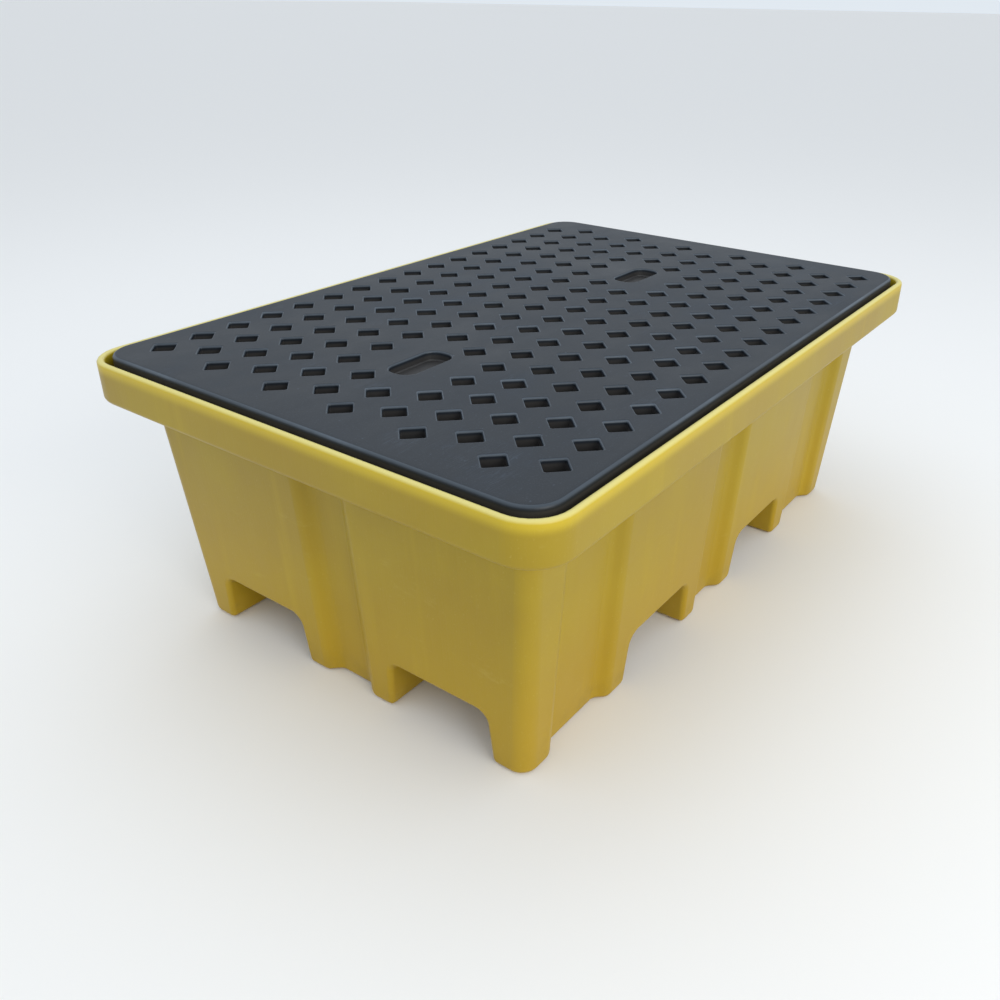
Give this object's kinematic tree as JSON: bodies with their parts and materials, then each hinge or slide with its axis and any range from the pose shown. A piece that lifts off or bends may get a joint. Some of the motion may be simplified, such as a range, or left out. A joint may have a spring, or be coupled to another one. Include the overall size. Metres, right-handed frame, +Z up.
{
  "type": "spill containment pallet",
  "caption": "Low rectangular moulded plastic sump with drafted grooved walls, a wide rim and four-way fork channels, and a perforated deck that lifts out of the rim.",
  "frame": {"origin": "on the ground under the middle of the sump", "axes": "+X along the length, +Y across the width, +Z up from the ground towards the deck"},
  "size_m": [1.3, 0.89, 0.49],
  "materials": {
    "sump_plastic": "satin rotationally moulded polyethylene, yellow",
    "deck_plastic": "satin moulded polyethylene, black with fine scuffs",
    "post_plastic": "plain extruded pipe, black"
  },
  "bodies": {
    "sump": {"sump": "sump_plastic", "deck_post_1": "post_plastic", "deck_post_2": "post_plastic", "deck_post_3": "post_plastic", "deck_post_4": "post_plastic"},
    "deck": {"deck": "deck_plastic"}
  },
  "joints": [
    {"name": "deck_lift", "type": "slide", "parent": "sump", "child": "deck", "axis": [0, 0, 1], "range_m": [0, 0.35]}
  ]
}
